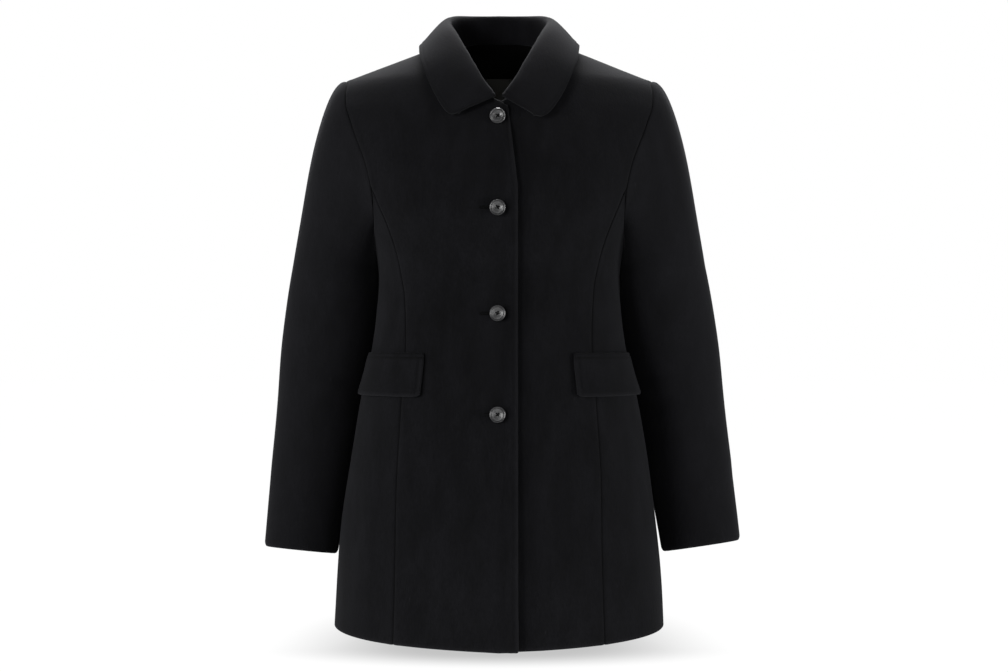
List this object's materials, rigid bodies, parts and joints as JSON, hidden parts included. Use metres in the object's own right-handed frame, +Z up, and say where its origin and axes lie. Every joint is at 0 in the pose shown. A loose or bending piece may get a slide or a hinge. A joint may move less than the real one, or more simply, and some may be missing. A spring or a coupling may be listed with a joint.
{
  "type": "overcoat",
  "caption": "Short single-breasted wool overcoat, hollow and filled out as worn, with a rounded turn-down collar, princess seams, flap pockets and set-in sleeves.",
  "frame": {"origin": "midway between the two points where the shoulder seams meet the collar, where the wearer's shoulders carry the coat", "axes": "+Z up, the front faces -Y, the wearer's right is -X"},
  "size_m": [0.6151, 0.3169, 0.8082],
  "materials": {
    "wool": "matte napped wool",
    "button": "polished",
    "label": "woven satin"
  },
  "bodies": {
    "root": {"right_front": "wool", "left_front": "wool", "right_side_front": "wool", "left_side_front": "wool", "right_back": "wool", "left_back": "wool", "right_upper_sleeve": "wool", "left_upper_sleeve": "wool", "right_under_sleeve": "wool", "left_under_sleeve": "wool", "collar": "wool", "right_pocket_flap": "wool", "left_pocket_flap": "wool", "right_pocket_welt": "wool", "left_pocket_welt": "wool", "button_1": "button", "button_2": "button", "button_3": "button", "button_4": "button", "neck_label": "label"}
  },
  "joints": []
}
